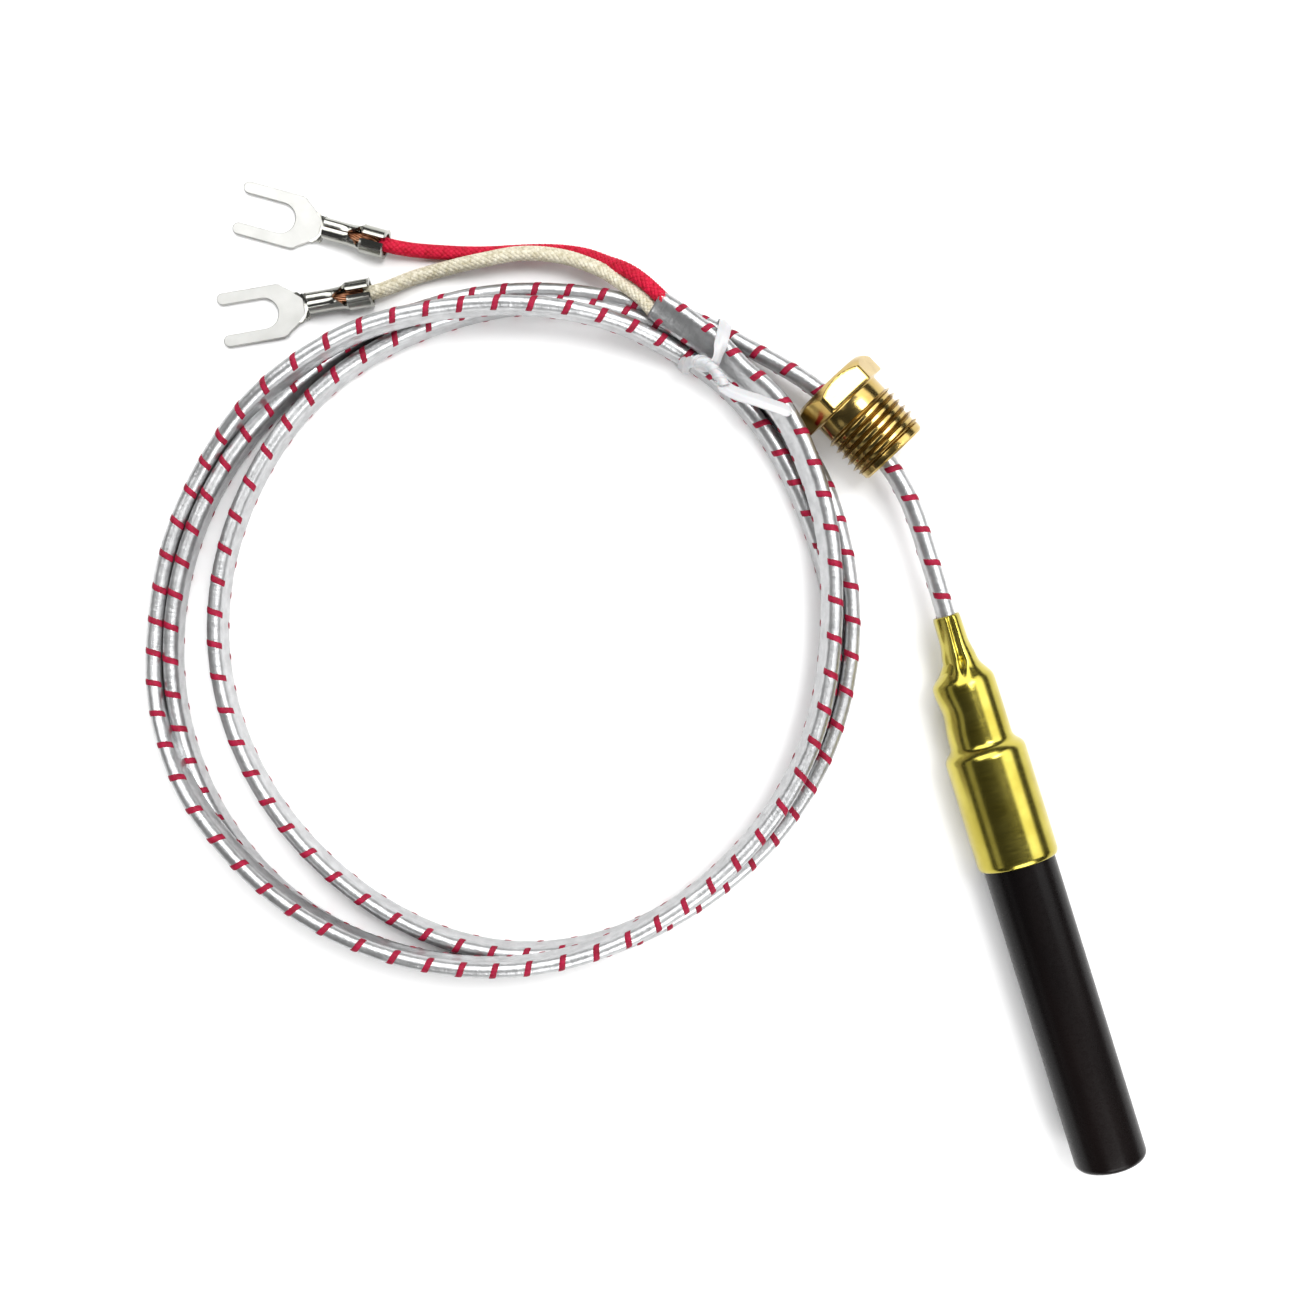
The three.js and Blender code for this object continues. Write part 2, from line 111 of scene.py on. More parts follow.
# Stations of the coil: degrees travelled about its centre from +X, counter-clockwise, then the radius and
# the height of the lead's middle in millimetres, and its lean in degrees. The lead rests on the surface
# where it can, and its last turn rides over the first two where it crosses them.
COIL_STATIONS = [
    (50, 55.2, 2.7, 0), (63, 53.6, 2.7, 2), (75, 52.5, 2.7, 4), (90, 51.4, 2.7, 4),
    (113, 50.2, 2.7, 4), (135, 50.4, 2.7, 2), (163, 51.6, 2.7, 1), (180, 52.6, 2.7, 2),
    (203, 53.6, 2.7, 4), (225, 53.7, 2.7, 4), (250, 52.6, 2.7, 4), (270, 52.2, 2.7, 6),
    (287, 52.3, 2.7, 6), (301, 53.0, 2.7, 4), (323, 54.1, 2.7, 2), (348, 54.7, 2.7, 2),
    (360, 55.0, 2.7, 2), (370, 55.2, 2.7, 3), (383, 54.4, 2.7, 4), (407, 53.1, 2.7, 6),
    (416, 52.5, 2.7, 6), (433, 50.6, 2.7, 6), (444, 49.2, 2.7, 6), (455, 48.2, 2.7, 5),
    (473, 46.9, 2.7, 4), (490, 45.6, 2.7, 4), (525, 44.7, 2.7, 6), (548, 44.8, 2.7, 6),
    (585, 47.0, 2.7, 8), (610, 50.0, 2.7, 9), (630, 51.2, 2.7, 9), (648, 51.3, 2.7, 8),
    (673, 51.4, 2.7, 6), (708, 51.6, 2.7, 6), (726, 51.0, 2.7, 6), (738, 51.4, 2.7, 6),
    (754, 51.6, 2.7, 6), (762, 51.2, 3.7, 6), (770, 50.8, 5.8, 5), (778, 50.3, 7.4, 4),
    (787, 49.9, 7.9, 4), (796, 49.8, 7.9, 5), (806, 50.0, 7.9, 7), (818, 50.7, 7.9, 10),
    (830, 51.2, 7.4, 11), (841, 52.1, 5.6, 9), (850, 52.7, 3.5, 6), (860, 53.1, 2.7, 4),
    (868, 53.4, 2.7, 4), (884, 54.1, 2.7, 4), (893, 54.7, 3.4, 4), (902, 54.5, 5.2, 5),
    (910, 54.1, 7.0, 6), (918, 53.5, 7.8, 6), (928, 53.1, 7.9, 7), (945, 52.5, 7.9, 8),
    (970, 51.8, 7.9, 9), (990, 51.2, 7.9, 9), (1007, 50.5, 7.9, 10), (1024, 50.5, 7.9, 12),
    (1043, 50.7, 7.9, 14), (1066, 51.0, 7.9, 16), (1083, 52.8, 7.9, 22), (1092, 53.8, 7.9, 28),
]


# ---- Camera ----
def make_camera():
    """Looks straight down on the laid-out object from above the middle of the box."""
    camera = bpy.data.objects.new("camera", bpy.data.cameras.new("camera"))
    bpy.context.scene.collection.objects.link(camera)
    camera.location = (-0.04181, 0.0311, 0.238)
    camera.rotation_euler = (0, 0, math.radians(-17.24))
    camera.data.sensor_width = 36
    camera.data.lens = 41.54
    camera.data.clip_start, camera.data.clip_end = 0.01, 10
    bpy.context.scene.camera = camera


# ---- Paths and sweeps ----
def spline(knots, values, at):
    """Natural cubic spline through values at the knots, evaluated at the given places."""
    knots, values = np.asarray(knots, float), np.asarray(values, float)
    gaps = np.diff(knots)
    slopes = np.diff(values, axis=0) / gaps.reshape(-1, *[1] * (values.ndim - 1))
    count = len(knots)
    system = np.eye(count)
    right = np.zeros_like(values)
    for i in range(1, count - 1):
        system[i, i - 1:i + 2] = gaps[i - 1], 2 * (gaps[i - 1] + gaps[i]), gaps[i]
        right[i] = 6 * (slopes[i] - slopes[i - 1])
    bends = np.linalg.solve(system, right)
    i = np.clip(np.searchsorted(knots, at) - 1, 0, count - 2)
    shape = (-1, *[1] * (values.ndim - 1))
    h, a, b = (x.reshape(shape) for x in (gaps[i], knots[i + 1] - at, at - knots[i]))
    curve = (bends[i] * a**3 + bends[i + 1] * b**3) / (6 * h)
    ends = (values[i] / h - bends[i] * h / 6) * a + (values[i + 1] / h - bends[i + 1] * h / 6) * b
    return curve + ends


def along(points):
    """Distance travelled at each point."""
    return np.concatenate([[0], np.cumsum(np.linalg.norm(np.diff(points, axis=0), axis=1))])


def unit(vectors):
    """Vectors of length 1 in the same directions."""
    return vectors / np.linalg.norm(vectors, axis=-1, keepdims=True)


class Path:
    """A smooth line through points, with a lean at each: 0 is upright and 90 lies flat, outer side up."""

    def __init__(self, points, leans, step):
        points = np.asarray(points, float)
        rough = along(points)
        fine = np.linspace(0, rough[-1], 40 * len(points))
        curve = spline(rough, points, fine)
        lean = spline(rough, np.asarray(leans, float), fine)
        true = along(curve)
        self.length = true[-1]
        self.s = np.linspace(0, self.length, int(self.length / step) + 1)
        self.points = np.stack([np.interp(self.s, true, curve[:, k]) for k in range(3)], axis=1)
        self.lean = np.radians(np.interp(self.s, true, lean))
        self.tangent = unit(np.gradient(self.points, self.s, axis=0))
        across = unit(np.cross(self.tangent, (0, 0, 1)))
        up = np.cross(across, self.tangent)
        cos, sin = np.cos(self.lean)[:, None], np.sin(self.lean)[:, None]
        self.wide = cos * up + sin * across
        self.thin = cos * across - sin * up

    def at(self, s):
        """Point, wide direction and thin direction at distances s."""
        def look(rows):
            return np.stack([np.interp(s, self.s, rows[:, k]) for k in range(3)], axis=1)
        return look(self.points), look(self.wide), look(self.thin)

    def place(self, s, wide, thin):
        """Points at distances s, offset along the wide and thin directions."""
        points, wides, thins = self.at(s)
        return points + wides * np.asarray(wide)[:, None] + thins * np.asarray(thin)[:, None]


def mesh_piece(name, vertices, faces, materials, body=ROOT, face_slots=None):
    """A smooth-shaded mesh object with its materials, riding on a body."""
    mesh = bpy.data.meshes.new(name)
    mesh.from_pydata([tuple(v) for v in vertices], [], faces)
    mesh.validate()
    mesh.polygons.foreach_set("use_smooth", [True] * len(mesh.polygons))
    if face_slots is not None:
        mesh.polygons.foreach_set("material_index", face_slots)
    for material in materials if isinstance(materials, list) else [materials]:
        mesh.materials.append(material)
    mesh.update()
    piece = bpy.data.objects.new(name, mesh)
    bpy.context.scene.collection.objects.link(piece)
    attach(piece, body)
    return piece


def grid_faces(rings, sides, start=0, close_ends=True):
    """Quads between rings of the same number of sides, with a polygon over each end."""
    faces = []
    for ring in range(rings - 1):
        low = start + ring * sides
        for side in range(sides):
            after = (side + 1) % sides
            faces.append((low + side, low + after, low + sides + after, low + sides + side))
    if close_ends:
        last = start + (rings - 1) * sides
        faces.append(tuple(range(start + sides - 1, start - 1, -1)))
        faces.append(tuple(range(last, last + sides)))
    return faces


# ---- Lead ----
def lead_section(u):
    """Outline of the lead at fractions u of its perimeter from the top: offsets along its wide and thin
    directions. It is a quarter round, a flat, a half round, a flat and a quarter round."""
    radius = LEAD_THIN / 2
    straight = LEAD_WIDE - LEAD_THIN
    half = straight / 2
    perimeter = 2 * straight + TAU * radius
    quarter = math.pi * radius / 2
    d = (np.asarray(u, float) % 1) * perimeter
    wide_at, thin_at = np.empty_like(d), np.empty_like(d)
    stops = [quarter, quarter + straight, 3 * quarter + straight, 3 * quarter + 2 * straight, perimeter]
    part = np.searchsorted(stops, d, side="right")
    top = part == 0
    wide_at[top], thin_at[top] = half + radius * np.cos(d[top] / radius), radius * np.sin(d[top] / radius)
    side = part == 1
    wide_at[side], thin_at[side] = half - (d[side] - quarter), radius
    low = part == 2
    turn = (d[low] - quarter - straight) / radius + math.pi / 2
    wide_at[low], thin_at[low] = -half + radius * np.cos(turn), radius * np.sin(turn)
    back = part == 3
    wide_at[back], thin_at[back] = -half + (d[back] - 3 * quarter - straight), -radius
    last = part >= 4
    turn = (d[last] - perimeter) / radius
    wide_at[last], thin_at[last] = half + radius * np.cos(turn), radius * np.sin(turn)
    dent = FLAT_DENT * np.cos(np.clip(wide_at / half, -1, 1) * math.pi / 2)
    return wide_at, thin_at - np.sign(thin_at) * dent


def coil_points():
    """The coil's line and lean at every few degrees, from a spline through its stations."""
    centre = (Vector(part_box("lead_coil")[0]) + Vector(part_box("lead_coil")[1])) / 2
    angles, *rest = zip(*COIL_STATIONS)
    travelled = np.arange(angles[0], angles[-1] + 0.1, COIL_STEP)
    radius, height, lean = (spline(angles, values, travelled) for values in rest)
    height = np.maximum(height, COIL_REST)
    theta = np.radians(travelled)
    x = centre.x + radius * MM * np.cos(theta)
    y = centre.y + radius * MM * np.sin(theta)
    return list(zip(x, y, height * MM)), list(lean)


def lead_path():
    """The lead's whole way, from inside the ferrule's neck to the two wires."""
    coil, coil_leans = coil_points()
    points = LEAD_FERRULE_ROUTE + coil + LEAD_TERMINAL_ROUTE
    return Path(points, LEAD_FERRULE_LEANS + coil_leans + LEAD_TERMINAL_LEANS, LEAD_STEP)


def make_jacket(path, foil):
    """The foil wrap, finely creased, with its overlapping edge. Its points carry the distance along the
    lead and their place on its section in the attribute "wrap", for the foil's material."""
    u = np.arange(LEAD_SIDES) / LEAD_SIDES
    wide, thin = lead_section(u)
    outward = unit(np.stack([wide, thin * 1.4], axis=1))
    rings = len(path.s)
    points = np.empty((rings, LEAD_SIDES, 3))
    for k in range(LEAD_SIDES):
        points[:, k] = path.place(path.s, np.full(rings, wide[k]), np.full(rings, thin[k]))
    crease = np.array([
        [noise.noise((s * 900, 3 * math.cos(TAU * a), 3 * math.sin(TAU * a))) for a in u] for s in path.s
    ])
    overlap = ((path.s[:, None] / TRACER_PITCH + u[None, :]) % 1.0) ** 6
    lift = CREASE * (crease + overlap)
    points += lift[..., None] * (
        path.wide[:, None, :] * outward[None, :, :1] + path.thin[:, None, :] * outward[None, :, 1:]
    )
    jacket = mesh_piece("lead_jacket", points.reshape(-1, 3), grid_faces(rings, LEAD_SIDES), foil)
    wrap = np.empty((rings, LEAD_SIDES, 3))
    wrap[..., 0] = path.s[:, None]
    wrap[..., 1], wrap[..., 2] = wide, thin
    jacket.data.attributes.new("wrap", "FLOAT_VECTOR", "POINT").data.foreach_set("vector", wrap.ravel())
    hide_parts("lead_ferrule_end", "lead_coil", "lead_terminal_end")
    return jacket


def make_tracer(path, thread):
    """The tracer thread: wide on the two rounded edges of the lead, and drawn thin under the foil on its
    flats. Two sines make the winding a little uneven."""
    steps = int(path.length / TRACER_PITCH * TRACER_STEPS)
    s = np.linspace(LEAD_STEP, path.length - LEAD_STEP, steps)
    section = [(-0.5, -0.3), (-0.38, 0.5), (0, 0.8), (0.38, 0.5), (0.5, -0.3)]
    turns = s / TRACER_PITCH - TRACER_START + 0.12 * np.sin(s * 61) + 0.05 * np.sin(s * 173 + 1)
    wide_at, thin_at = lead_section(-turns - TRACER_SLANT / (2 * TAU) * np.sin(2 * TAU * turns))
    on_round = np.clip((np.abs(wide_at) / (LEAD_WIDE - LEAD_THIN) * 2 - 0.93) / 0.1, 0, 1)
    spread = TRACER_WIDE * (TRACER_FLAT_WIDE + (1 - TRACER_FLAT_WIDE) * on_round)
    ring = []
    for across, height in section:
        lift = height * TRACER_THICK - TRACER_SUNK * (1.0 - on_round)
        wider, thicker = 1 + lift * 2 / LEAD_WIDE, 1 + lift * 2 / LEAD_THIN
        ring.append(path.place(s + across * spread, wide_at * wider, thin_at * thicker))
    rings = np.stack(ring, axis=1).reshape(-1, 3)
    tracer = mesh_piece("lead_tracer_thread", rings, grid_faces(steps, len(section)), thread)
    return tracer


# ---- Probe ----
PROBE_SIDES = 192
TUBE_CORNER = 0.0011             # radius of the closed end's corner
CRIMP_Y = 0.0122                 # where the ferrule's neck starts to be crimped
NECK_Y = 0.0156                  # where the crimp is fully formed
WAIST_Y = 0.0078                 # middle of a shallow waist in the small section
PINCH_Y = 0.0153                 # where the right groove is deepest
GROOVE_WIDE = 0.00042
GROOVE_DEEP = 0.001
NECK_SHIFT = 0.0005              # the crimp pushes the neck sideways


def turned(name, profile, axis_x, axis_z, material, shape=None):
    """Closed body turned about an axis along Y from (y, radius) pairs. shape(y, side, up) may change a
    ring's sideways and upward offsets."""
    angles = TAU * np.arange(PROBE_SIDES) / PROBE_SIDES
    rings = []
    for y, radius in profile:
        side, up = radius * np.sin(angles), radius * np.cos(angles)
        if shape:
            side, up = shape(y, side, up)
        rings.append(np.stack([axis_x + side, np.full(PROBE_SIDES, y), axis_z + up], axis=1))
    return mesh_piece(name, np.concatenate(rings), grid_faces(len(rings), PROBE_SIDES), material)


def filled(stations, step):
    """(y, radius) pairs close together on the straight lines between stations."""
    profile = []
    for (y0, r0), (y1, r1) in zip(stations, stations[1:]):
        count = max(2, int(math.hypot(y1 - y0, r1 - r0) / step))
        for k in range(count):
            t = k / count
            profile.append((y0 + (y1 - y0) * t, r0 + (r1 - r0) * t))
    profile.append(stations[-1])
    return profile


def rounded(stations, radius, step):
    """A profile whose corners are rounded by averaging along its length."""
    fine = np.array(filled(stations, step))
    s = along(fine)
    out = []
    for k in np.linspace(0, s[-1], int(s[-1] / step)):
        near = np.linspace(k - radius, k + radius, 9).clip(0, s[-1])
        out.append((np.interp(near, s, fine[:, 0]).mean(), np.interp(near, s, fine[:, 1]).mean()))
    out[0], out[-1] = tuple(fine[0]), tuple(fine[-1])
    return out


def make_tube(material):
    """The probe's tube, with a nearly flat closed end and a rounded corner."""
    low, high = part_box("sheath_tube")
    x, z, radius = (low.x + high.x) / 2, (low.z + high.z) / 2, (high.x - low.x) / 2
    corner_y, corner_r = low.y + 0.0001 + TUBE_CORNER, radius - TUBE_CORNER
    profile = [(low.y, 0.0), (low.y + 0.00004, 0.5 * radius)]
    for turn in np.linspace(0, math.pi / 2, 13):
        profile.append((corner_y - TUBE_CORNER * math.cos(turn), corner_r + TUBE_CORNER * math.sin(turn)))
    profile += [(y, radius) for y in np.linspace(low.y + 0.003, high.y, 40)]
    profile += [(high.y, radius - 0.0004), (low.y + 0.001, radius - 0.0005), (low.y + 0.001, 0.0)]
    tube = turned("probe_tube", profile, x, z, material)
    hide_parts("sheath_tube")


def make_ferrule(material):
    """The ferrule: large section, shoulder, small section and the neck crimped on the lead."""
    low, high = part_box("brass_ferrule")
    x, z, big = (low.x + high.x) / 2, (low.z + high.z) / 2, (high.x - low.x) / 2
    small = big - 0.0014
    mouth = high.y
    outer = [
        (low.y, big - 0.0003), (low.y + 0.0003, big), (0.0006, big), (0.0013, big - 0.0004),
        (0.0021, small + 0.0001), (0.0026, small), (0.0112, small), (0.0123, small - 0.0001),
        (0.0134, small - 0.0006), (0.0145, small - 0.0011), (0.0160, 0.0036), (0.0185, 0.0034),
        (0.0215, 0.0033), (mouth - 0.0003, 0.0033), (mouth, 0.0031),
    ]
    profile = rounded(outer, 0.0005, 0.00012)
    profile += [
        (mouth - 0.0001, 0.0029), (0.0185, 0.0029), (0.0160, 0.0031), (0.0125, 0.0043),
        (0.0009, 0.0043), (0.0009, 0.0056), (low.y, 0.0056), (low.y, big - 0.0003),
    ]

    def ease(y, start, end):
        """Rises smoothly from 0 to 1."""
        t = min(max((y - start) / (end - start), 0), 1)
        return t * t * (3 - 2 * t)

    def crimp(y, side, up):
        """Flattens the neck and presses two grooves along it, and a shallow waist in the small section."""
        neck = ease(y, CRIMP_Y, NECK_Y)
        ratio = 1 - 0.28 * neck - 0.09 * ease(y, NECK_Y, 0.0185)
        waist = 0.00045 * math.exp(-((y - WAIST_Y) / 0.0024) ** 2)
        side = side * ratio + waist * np.clip(-side / 0.0049, 0, 1)
        above = np.clip(up / 0.003, 0, 1)
        spread = 1 - ease(y, 0.0150, 0.0227)
        pinch = math.exp(-((y - PINCH_Y) / 0.0007) ** 2)
        left = np.exp(-((side + 0.0014 + 0.0008 * spread) / GROOVE_WIDE) ** 2) * 0.6 * neck
        right = np.exp(-((side + 0.0002 + 0.0002 * spread) / GROOVE_WIDE) ** 2) * 0.6 * (neck + pinch)
        return side + NECK_SHIFT * neck, up - GROOVE_DEEP * above * (left + right)

    ferrule = turned("ferrule", profile, x, z, material, crimp)
    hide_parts("brass_ferrule")


# ---- Threaded adapter, along its own +Y from the hexagon's outer face to the thread's end ----
ADAPTER_PLACE = (-0.0001, 0.0555, 0.0066)
ADAPTER_TURN = math.radians(-153.83)
ADAPTER_LENGTH = 0.0149
HEX_FLATS = 0.0132
HEX_LENGTH = 0.004
THREAD_R = 0.00635
THREAD_DEPTH = 0.00074
THREAD_PITCH = 0.00127
GROOVE_R = 0.0057
GROOVE_LENGTH = 0.0024
BORE_R = 0.005
DOME_R = 0.0058                  # where the domed face starts to fall away
DOME_STEPS = 12
CHAMFER_LENGTH = 0.0012          # plain end past the thread
RUN_LENGTH = 0.0014              # over which the thread rises at its start and fades at its end
ADAPTER_SIDES = 180
RIDGE_STEPS = 24                 # rings in one pitch of the thread


def head_rings(angles, face, seat):
    """(radii, y) rings of the bore's mouth and the hexagon with its domed outer face."""
    sector = (angles + math.pi / 6) % (math.pi / 3) - math.pi / 6
    corner = HEX_FLATS / math.sqrt(3)
    hexagon = np.minimum(HEX_FLATS / 2 / np.cos(sector), corner - 0.00012)
    full = np.ones(len(angles))
    rings = [(BORE_R * full, face + 0.0004), ((BORE_R + 0.0003) * full, face), (DOME_R * full, face)]
    for step in range(1, DOME_STEPS + 1):
        fall = step / DOME_STEPS
        cone = DOME_R + (corner - DOME_R) * fall
        y = face + 0.0015 * fall**1.35
        rings.append((np.minimum(hexagon, cone), y))
    rings += [(hexagon, y) for y in np.linspace(face + 0.0018, seat - 0.0002, 6)]
    return rings + [(hexagon - 0.00006, seat - 0.00006), (hexagon - 0.0002, seat)]


def make_adapter(material, painted_shade_flank_material):
    """Hexagon with a domed outer face, relief groove, helical thread, chamfered end and plain bore."""
    sides = ADAPTER_SIDES
    angles = TAU * np.arange(sides) / sides
    face, end = -ADAPTER_LENGTH / 2, ADAPTER_LENGTH / 2
    seat = face + HEX_LENGTH
    start = seat + GROOVE_LENGTH
    full = np.ones(sides)
    rings = head_rings(angles, face, seat)
    rings += [((GROOVE_R + 0.0003) * full, seat)]
    rings += [(GROOVE_R * full + 0.0003 * (1 - t) ** 2, seat + 0.0003 * t) for t in (0.3, 0.6, 1)]
    rings += [(GROOVE_R * full, start - 0.0006), (GROOVE_R * full, start - 0.0003)]
    # Each ridge climbs one pitch round the thread; the step back to the next one faces down.
    climb = THREAD_PITCH * ((angles + math.pi) % TAU / TAU - 0.5)
    thread_from, stop = len(rings), end - CHAMFER_LENGTH
    ridges = []
    for y in np.arange(start, stop, THREAD_PITCH / RIDGE_STEPS):
        phase = ((y - start) / THREAD_PITCH) % 1
        ridge = min(1, max(0, 1.7 * (1 - abs(2 * phase - 1)) - 0.68))
        run_in, run_out = min(1, (y - start) / RUN_LENGTH), min(1, (stop - y) / RUN_LENGTH)
        root = GROOVE_R - (GROOVE_R - THREAD_R + THREAD_DEPTH) * run_in
        radius = root + ridge * THREAD_DEPTH * min(1, 2 * run_in) * min(1, 2.5 * run_out)
        rings.append((radius * full, y + climb * min(run_in, run_out)))
        ridges.append(ridge)
    rings += [(0.0058 * full, stop), (0.00575 * full, end - 0.001), (0.0057 * full, end - 0.0003)]
    rings += [(0.0054 * full, end), ((BORE_R + 0.0003) * full, end), (BORE_R * full, end - 0.0003)]

    turn_sin, turn_cos = math.sin(ADAPTER_TURN), math.cos(ADAPTER_TURN)
    points = []
    for radius, y in rings:
        side, up = radius * np.sin(angles), radius * np.cos(angles)
        points.append(np.stack([
            ADAPTER_PLACE[0] + side * turn_cos - y * turn_sin,
            ADAPTER_PLACE[1] + side * turn_sin + y * turn_cos,
            ADAPTER_PLACE[2] + up], axis=1))
    count = len(rings)
    faces = grid_faces(count, sides, close_ends=False)
    last = (count - 1) * sides
    faces += [(last + k, last + (k + 1) % sides, (k + 1) % sides, k) for k in range(sides)]
    # The flanks of the ridges get a darker brass than their crests and roots: painted shade for the light
    # lost between the ridges.
    slots = np.zeros(len(faces), dtype=np.int32)
    for ring, ridge in enumerate(ridges[:-1]):
        first = (thread_from + ring) * sides
        slots[first:first + sides] = 0.04 < ridge < 0.85
    adapter = mesh_piece(
        "adapter", np.concatenate(points), faces, [material, painted_shade_flank_material],
        body=ADAPTER, face_slots=slots)
    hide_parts("threaded_adapter")
    sharpen(adapter, 28)


def sharpen(piece, degrees):
    """Keeps edges crisp that turn by more than an angle."""
    piece.data.set_sharp_from_angle(angle=math.radians(degrees))


# ---- Braided wires ----
YARNS = 8                        # in each of the two directions
BRAID_PITCH = 0.0072
YARN_WIDE = 0.00062
YARN_THICK = 0.0002
WEAVE = 0.00009                  # how far a yarn rises and falls to pass over and under the others
CORE_SIDES = 20


def make_braid(name, route, node, material, core_material):
    """A round wire in a sleeve of yarns that pass over and under each other. node is the CAD wire."""
    path = Path(route, [0] * len(route), 0.0002)
    mean = WIRE_D / 2 - 0.0002
    s = np.linspace(0.0001, path.length - 0.0001, int(path.length / 0.00013))
    section = [(-0.5, 0), (-0.3, 0.5), (0.3, 0.5), (0.5, 0), (0.3, -0.5), (-0.3, -0.5)]
    slant = math.atan2(TAU * mean, BRAID_PITCH)
    vertices, faces = [], []
    for direction in (1, -1):
        weave = direction * WEAVE * np.cos(TAU * YARNS * s / BRAID_PITCH)
        for yarn in range(YARNS):
            angle = direction * TAU * s / BRAID_PITCH + TAU * yarn / YARNS
            ring = []
            for across, height in section:
                turn = angle + direction * across * YARN_WIDE * math.cos(slant) / mean
                radius = mean + weave + height * YARN_THICK
                shift = -across * YARN_WIDE * math.sin(slant)
                ring.append(path.place(s + shift, radius * np.cos(turn), radius * np.sin(turn)))
            start = sum(len(block) for block in vertices)
            vertices.append(np.stack(ring, axis=1).reshape(-1, 3))
            faces += grid_faces(len(s), len(section), start)
    braid = mesh_piece(name, np.concatenate(vertices), faces, material)

    stations = path.s[::3]
    core_r = np.full(len(stations), mean - 0.0001)
    rings = np.stack([
        path.place(stations, core_r * math.cos(a), core_r * math.sin(a))
        for a in TAU * np.arange(CORE_SIDES) / CORE_SIDES], axis=1)
    core = mesh_piece(
        name + "_core", rings.reshape(-1, 3), grid_faces(len(stations), CORE_SIDES), core_material)
    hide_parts(node)


# ---- Fork terminals, along their own +X from the insulation grip's outer end to the prong tips ----
TERMINAL_PLACES = {"red": ((-0.0625, 0.1042), 147.4), "cream": ((-0.0669, 0.0978), 172.7)}
FORK_THICK = 0.0008
FORK_HALF = 0.0043
SLOT_HALF = 0.0024
SLOT_BOTTOM_X = 0.0153
TIP_X = 0.0246
SHOULDER_X = 0.0142
NECK_HALF = 0.0019
PLATE_X = 0.0111
SHEET = 0.0006
ROLL_COLUMNS = 40                # points across the rolled sheet
BARREL_X = 0.0059                # where the conductor barrel starts, closed by a seam on top
STRAND_R = 0.00015
STRANDS_Z = 0.00185              # height of the middle of the copper strands
STRAND_RINGS = [(1, 0.0), (6, 0.00032), (11, 0.00062)]    # how many, and how far from the middle
# Stations of the rolled sheet: x, radius of its middle, half its wrap in degrees, height of its underside.
ROLL = [
    (0.0000, 0.00202, 167, 0.00000), (0.0003, 0.00192, 169, 0.00000), (0.0035, 0.00192, 169, 0.00000),
    (0.0038, 0.00195, 165, 0.00000), (0.0040, 0.00180, 122, 0.00002), (0.0044, 0.00160, 118, 0.00010),
    (0.0048, 0.00150, 140, 0.00020), (0.0056, 0.00142, 160, 0.00030), (0.0059, 0.00140, 170, 0.00036),
    (0.0060, 0.00138, 176, 0.00038), (0.0099, 0.00138, 176, 0.00038), (0.0101, 0.00138, 170, 0.00038),
    (0.01015, 0.00124, 110, 0.00036), (0.0102, 0.00190, 58, 0.00030), (0.0105, 0.00340, 33, 0.00020),
    (0.0109, 0.00650, 17, 0.00014), (0.0114, 0.01200, 9.5, 0.00011), (0.0126, 0.03000, 4, 0.00010),
]


def in_place(points, place, degrees):
    """Terminal coordinates to the frame."""
    turn = math.radians(degrees)
    x, y, z = np.asarray(points, float).T
    return np.stack([
        place[0] + x * math.cos(turn) - y * math.sin(turn),
        place[1] + x * math.sin(turn) + y * math.cos(turn), z], axis=1)


def rolled_sheet():
    """The grip, strap, barrel and neck as one sheet of metal rolled about the wire."""
    xs, radii, wraps, floors = (np.array(column, float) for column in zip(*ROLL))
    vertices, across = [], ROLL_COLUMNS
    stations = np.unique(np.concatenate([np.linspace(a, b, 6) for a, b in zip(xs, xs[1:])]))
    for x in stations:
        radius, wrap, floor = (np.interp(x, xs, column) for column in (radii, np.radians(wraps), floors))
        turn = np.linspace(-wrap, wrap, across)
        seam = 0.22 * np.clip((x - BARREL_X) / 0.0004, 0, 1)
        squeeze = 1 - seam * np.exp(-((math.pi - np.abs(turn)) / 0.42) ** 2)
        for offset in (SHEET / 2, -SHEET / 2):
            bend = radius * squeeze + offset
            y, z = bend * np.sin(turn), floor + SHEET / 2 + radius - bend * np.cos(turn)
            row = np.stack([np.full(across, x), y, z], axis=1)
            vertices.append(row if offset > 0 else row[::-1])
    return np.concatenate(vertices), grid_faces(len(stations), 2 * across)


def fork_outline():
    """Half of the fork's outline from its neck to the slot's bottom, then mirrored."""
    tip = (FORK_HALF - SLOT_HALF) / 2
    half = [
        (PLATE_X, NECK_HALF), (PLATE_X + 0.0004, NECK_HALF + 0.00005),
        (SHOULDER_X - 0.0002, FORK_HALF - 0.0006), (SHOULDER_X + 0.0002, FORK_HALF - 0.0002),
        (SHOULDER_X + 0.0009, FORK_HALF)]
    for turn in np.linspace(math.pi / 2, -math.pi / 2, 13):
        half.append((TIP_X - tip + tip * math.cos(turn), FORK_HALF - tip + tip * math.sin(turn)))
    for turn in np.linspace(0, math.pi / 2, 13):
        half.append((SLOT_BOTTOM_X + SLOT_HALF * (1 - math.sin(turn)), SLOT_HALF * math.cos(turn)))
    return half + [(x, -y) for x, y in half[-2::-1]]


def fork_plate():
    """The flat fork, with slightly rounded edges: its points, the points in a ring and the rings."""
    outline = np.array(fork_outline())
    ahead, behind = np.roll(outline, -1, axis=0), np.roll(outline, 1, axis=0)
    direction = unit(ahead - behind)
    inward = np.stack([direction[:, 1], -direction[:, 0]], axis=1)
    levels = [(0.00012, 0), (0.00003, 0.00004), (0, 0.00013), (0, FORK_THICK - 0.00013),
              (0.00003, FORK_THICK - 0.00004), (0.00012, FORK_THICK)]
    rings = [np.column_stack([outline + inset * inward, np.full(len(outline), z)]) for inset, z in levels]
    return np.concatenate(rings), len(outline), len(levels)


